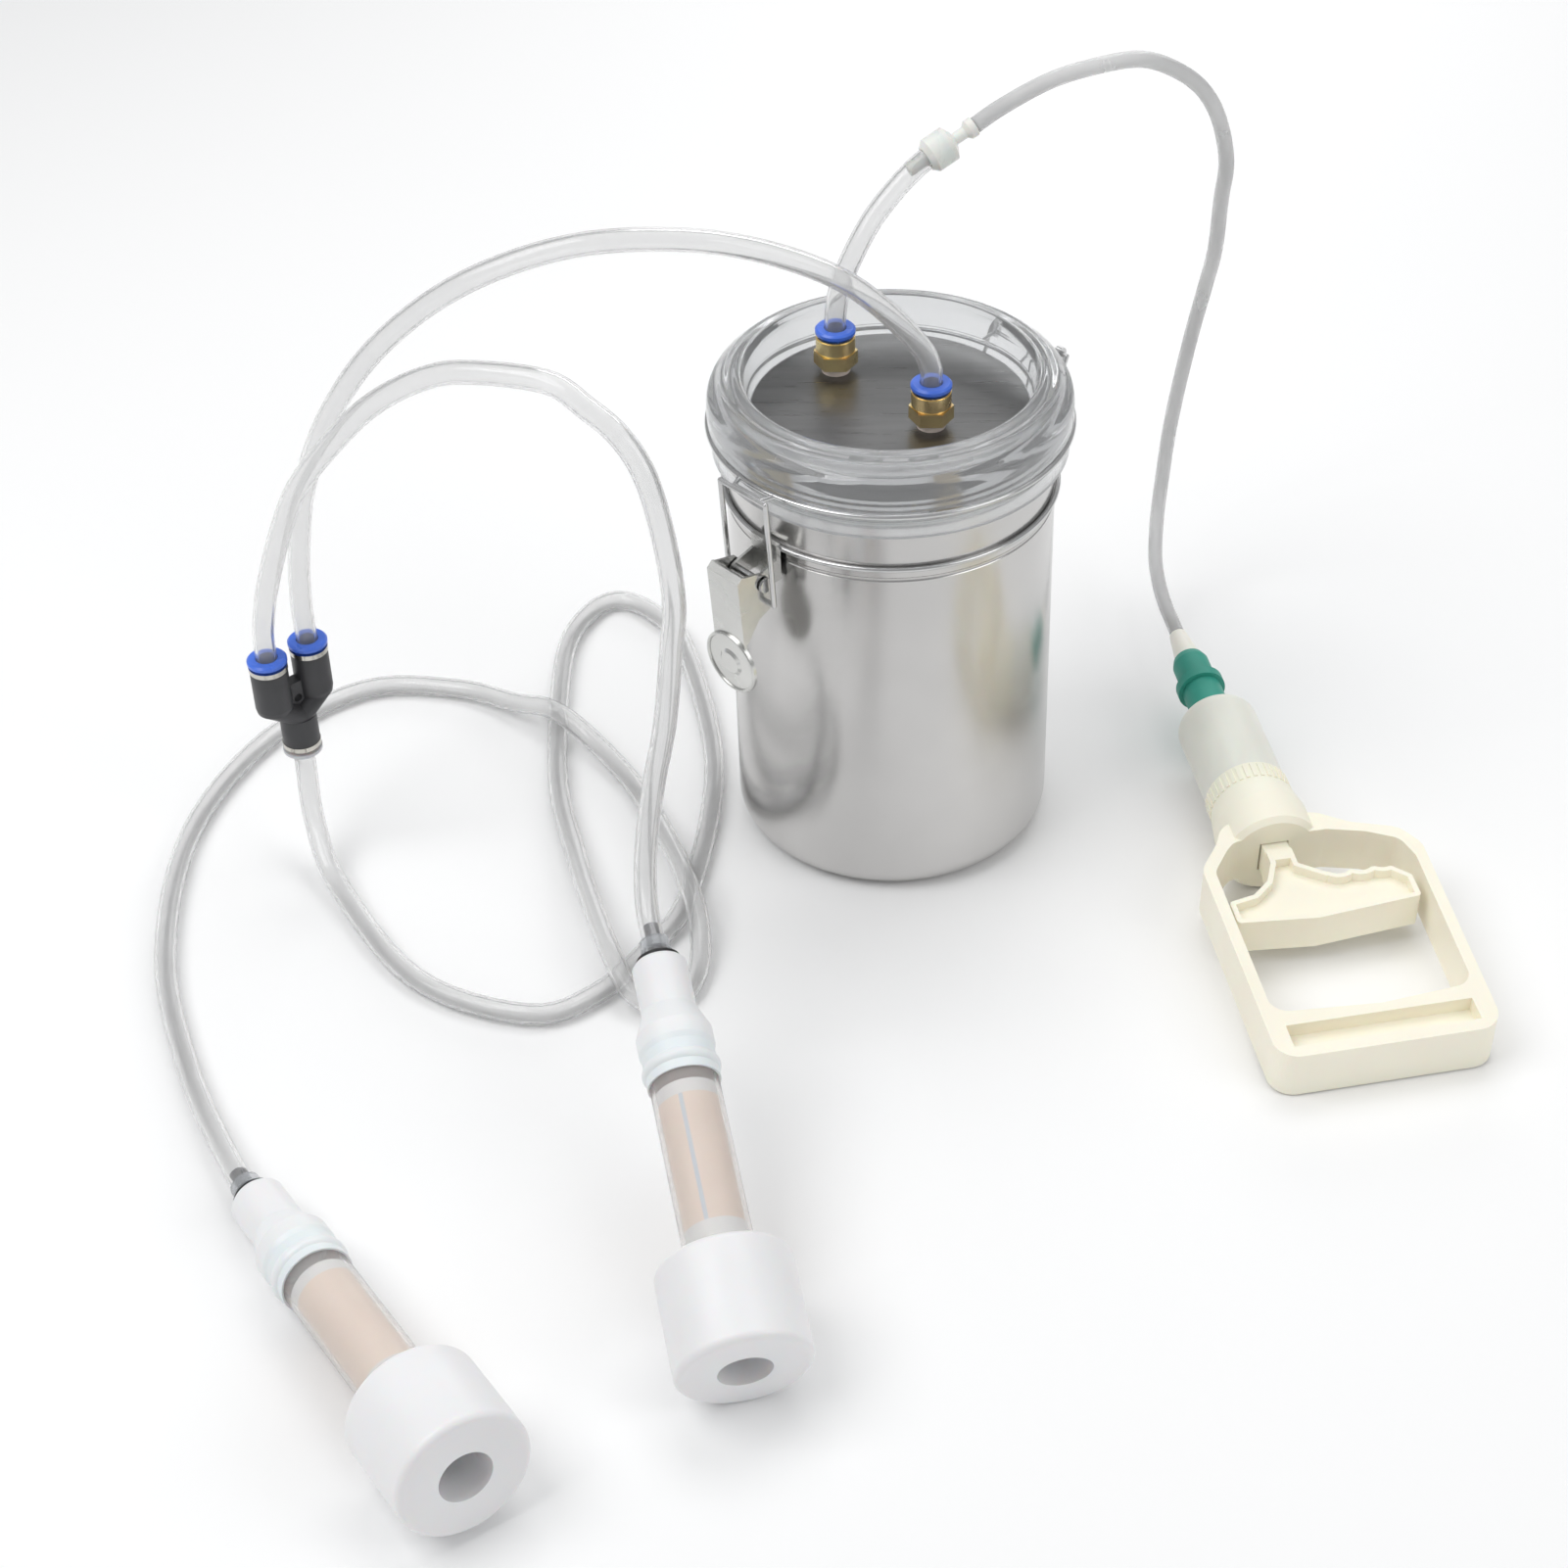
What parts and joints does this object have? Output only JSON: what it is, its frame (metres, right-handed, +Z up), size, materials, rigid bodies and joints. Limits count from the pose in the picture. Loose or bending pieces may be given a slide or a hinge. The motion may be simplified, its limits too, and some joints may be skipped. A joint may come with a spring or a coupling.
{
  "type": "milking machine",
  "caption": "Small hand-pumped milking machine: lidded steel canister with bail latch, teat cups on clear hoses, Y connector and hand vacuum pump.",
  "frame": {"origin": "Centre of the canister's flat base, on the surface it stands on.", "axes": "+Z up along the canister; +X toward the hand pump; -Y toward the teat cups."},
  "size_m": [0.4912, 0.5168, 0.2823],
  "materials": {
    "steel_shell": "satin",
    "wire_steel": "polished",
    "latch_steel": "satin",
    "clear_acrylic": "clear, polished",
    "gasket_silicone": "matte",
    "plate_steel": "satin",
    "brass": "satin",
    "ptfe_tape": "matte",
    "seal_rubber": "matte",
    "spring_steel": "satin",
    "blue_acetal": "gloss",
    "clear_hose": "clear, gloss",
    "valve_plastic": "translucent",
    "valve_rubber": "matte",
    "y_plastic": "satin",
    "nickel": "polished",
    "grey_acetal": "satin",
    "white_silicone": "satin",
    "cup_shell_plastic": "translucent",
    "liner_rubber": "satin",
    "dark_chrome": "polished",
    "clear_clip": "clear",
    "pump_silicone": "satin",
    "white_plastic": "satin",
    "green_rubber": "matte",
    "barrel_plastic": "translucent, satin",
    "cream_plastic": "satin"
  },
  "bodies": {
    "base": {"canister_shell": "steel_shell", "neck_hoop": "wire_steel", "hinge_wire": "wire_steel", "latch_bracket": "latch_steel", "lever_pin": "wire_steel", "milk_hose": "clear_hose", "y_body": "y_plastic", "y_sleeves": "nickel", "y_seals": "seal_rubber", "rear_cup_hose": "clear_hose", "front_cup_hose": "clear_hose", "front_cup_mouthpiece": "white_silicone", "front_cup_shell": "cup_shell_plastic", "front_cup_liner": "liner_rubber", "front_cup_sleeve": "white_silicone", "front_cup_barb": "dark_chrome", "front_cup_washer": "seal_rubber", "front_cup_clamp": "clear_clip", "rear_cup_mouthpiece": "white_silicone", "rear_cup_shell": "cup_shell_plastic", "rear_cup_liner": "liner_rubber", "rear_cup_sleeve": "white_silicone", "rear_cup_barb": "dark_chrome", "rear_cup_washer": "seal_rubber", "rear_cup_clamp": "clear_clip", "pump_hose": "pump_silicone", "pump_adapter": "white_plastic", "pump_coupling": "green_rubber", "pump_barrel": "barrel_plastic", "pump_lock_ring": "cream_plastic", "pump_frame": "cream_plastic", "pump_valve": "valve_rubber"},
    "lid": {"lid_shell": "clear_acrylic", "lid_gasket": "gasket_silicone", "lid_plate": "plate_steel", "lid_hoop": "wire_steel", "lid_eyes": "wire_steel", "lid_hook": "wire_steel", "vacuum_port_body": "brass", "milk_port_body": "brass", "port_tape": "ptfe_tape", "port_nuts": "brass", "port_seals": "seal_rubber", "port_grippers": "spring_steel", "vacuum_hose": "clear_hose", "valve_body": "valve_plastic", "valve_cap": "valve_plastic"},
    "lever": {"latch_lever": "latch_steel"},
    "bail": {"bail_wire": "wire_steel"},
    "vacuum_port_release": {"vacuum_port_collet": "blue_acetal"},
    "milk_port_release": {"milk_port_collet": "blue_acetal"},
    "y_left_release": {"y_collet_left": "blue_acetal"},
    "y_right_release": {"y_collet_right": "blue_acetal"},
    "y_bottom_release": {"y_collet_bottom": "grey_acetal"},
    "grip": {"pump_grip": "cream_plastic", "pump_piston": "white_plastic", "piston_seal": "seal_rubber"},
    "valve_flap": {"valve_disc": "valve_rubber"}
  },
  "joints": [
    {"name": "lid_hinge", "type": "hinge", "parent": "base", "child": "lid", "pos_m": [0.05374, 0.05374, 0.174], "axis": [-0.7071, 0.7071, 0], "range_deg": [0, 100], "deforming": ["milk_hose", "pump_hose"]},
    {"name": "lever_hinge", "type": "hinge", "parent": "base", "child": "lever", "pos_m": [-0.0502, -0.0502, 0.14], "axis": [-0.7071, 0.7071, 0], "range_deg": [0, 88]},
    {"name": "bail_hinge", "type": "hinge", "parent": "lever", "child": "bail", "pos_m": [-0.04914, -0.04914, 0.1315], "axis": [-0.7071, 0.7071, 0], "range_deg": [-90, 0]},
    {"name": "vacuum_port_press", "type": "slide", "parent": "lid", "child": "vacuum_port_release", "axis": [0, 0, -1], "range_m": [0, 0.0012], "stiffness_N_per_m": 300},
    {"name": "milk_port_press", "type": "slide", "parent": "lid", "child": "milk_port_release", "axis": [0, 0, -1], "range_m": [0, 0.0012], "stiffness_N_per_m": 300},
    {"name": "y_left_press", "type": "slide", "parent": "base", "child": "y_left_release", "axis": [0, 0, -1], "range_m": [0, 0.0012], "stiffness_N_per_m": 300},
    {"name": "y_right_press", "type": "slide", "parent": "base", "child": "y_right_release", "axis": [0, 0, -1], "range_m": [0, 0.0012], "stiffness_N_per_m": 300},
    {"name": "y_bottom_press", "type": "slide", "parent": "base", "child": "y_bottom_release", "axis": [0, 0, 1], "range_m": [0, 0.0012], "stiffness_N_per_m": 300},
    {"name": "grip_pull", "type": "slide", "parent": "base", "child": "grip", "axis": [0.2074, -0.9758, -0.0698], "range_m": [0, 0.042]},
    {"name": "valve_lift", "type": "slide", "parent": "lid", "child": "valve_flap", "axis": [0.8165, 0.4082, 0.4082], "range_m": [0, 0.001]}
  ],
  "couplings": [
    {"joint": "bail_hinge", "follows": "lever_hinge", "ratio": -1}
  ]
}
